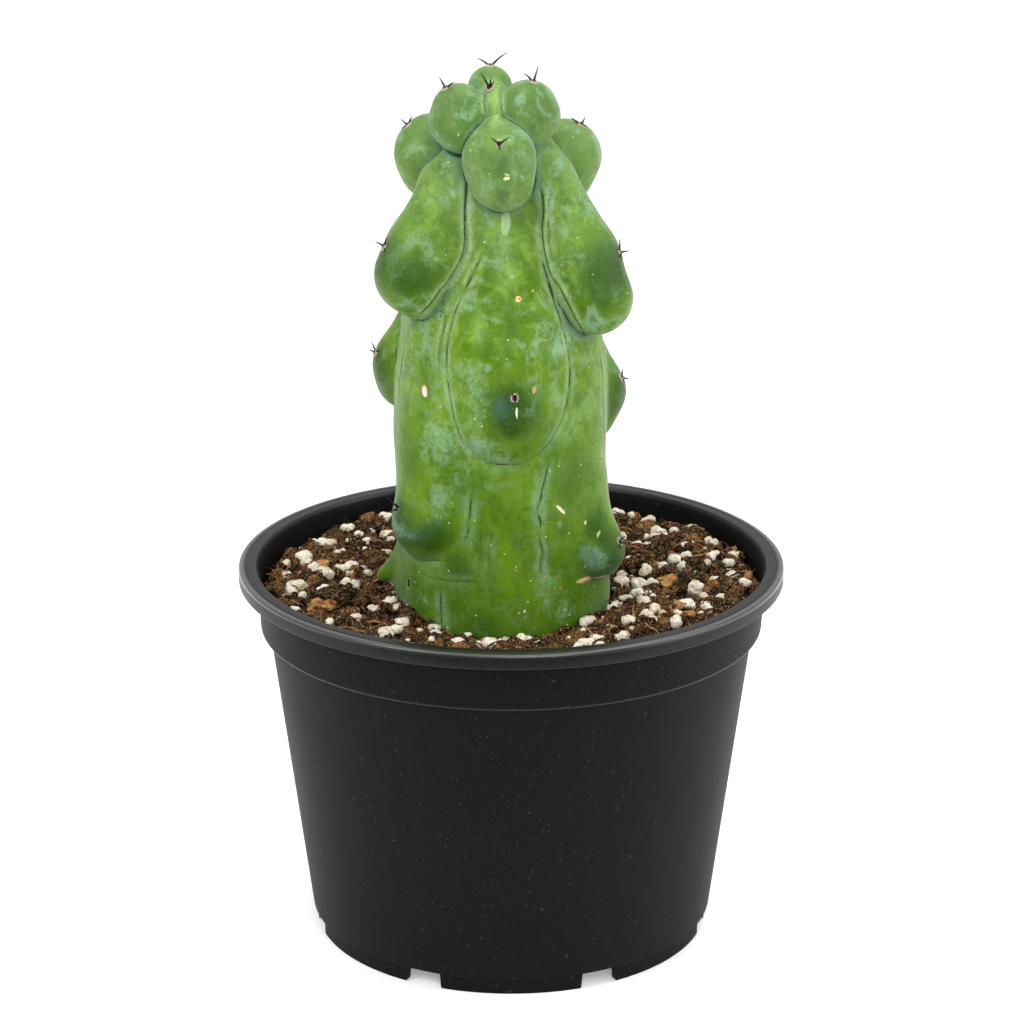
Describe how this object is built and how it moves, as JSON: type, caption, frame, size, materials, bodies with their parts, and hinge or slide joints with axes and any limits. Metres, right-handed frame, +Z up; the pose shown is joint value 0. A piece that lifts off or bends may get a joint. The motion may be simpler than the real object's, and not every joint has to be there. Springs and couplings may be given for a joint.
{
  "type": "potted cactus",
  "caption": "Columnar green cactus with swollen rounded tubercles and short dark spines, standing in gritty soil in a round tapered black nursery pot.",
  "frame": {"origin": "centre of the pot's foot, on the surface that the pot stands on", "axes": "+Z up along the pot's axis, -Y towards the front, +X to the right"},
  "size_m": [0.152, 0.152, 0.2515],
  "materials": {
    "pot_plastic": "fine matte grain, charcoal black",
    "potting_mix": "rough crumbly brown fibre and bark",
    "cactus_skin": "waxy satin green skin with a pale bloom",
    "spine": "hard dark brown-black spine with a pale woolly pad",
    "perlite": "porous chalky off-white",
    "bark": "rough fibrous tan bark"
  },
  "bodies": {
    "root": {"areole_base_left": "spine", "areole_base_right": "spine", "areole_crown_back": "spine", "areole_crown_back_left": "spine", "areole_crown_back_right": "spine", "areole_crown_front": "spine", "areole_crown_left": "spine", "areole_crown_rear": "spine", "areole_crown_right": "spine", "areole_crown_tip": "spine", "areole_lower_back": "spine", "areole_lower_left": "spine", "areole_lower_right": "spine", "areole_middle_front": "spine", "areole_middle_left": "spine", "areole_middle_right": "spine", "areole_upper_back": "spine", "areole_upper_left": "spine", "areole_upper_right": "spine", "bark_chip_01": "bark", "bark_chip_02": "bark", "bark_chip_03": "bark", "bark_chip_04": "bark", "bark_chip_05": "bark", "cactus_stem": "cactus_skin", "perlite_grain_01": "perlite", "perlite_grain_02": "perlite", "perlite_grain_03": "perlite", "perlite_grain_04": "perlite", "perlite_grain_05": "perlite", "perlite_grain_06": "perlite", "perlite_grain_07": "perlite", "perlite_grain_08": "perlite", "perlite_grain_09": "perlite", "perlite_grain_10": "perlite", "perlite_grain_11": "perlite", "perlite_grain_12": "perlite", "perlite_grain_13": "perlite", "perlite_grain_14": "perlite", "pot": "pot_plastic", "soil": "potting_mix"}
  },
  "joints": []
}
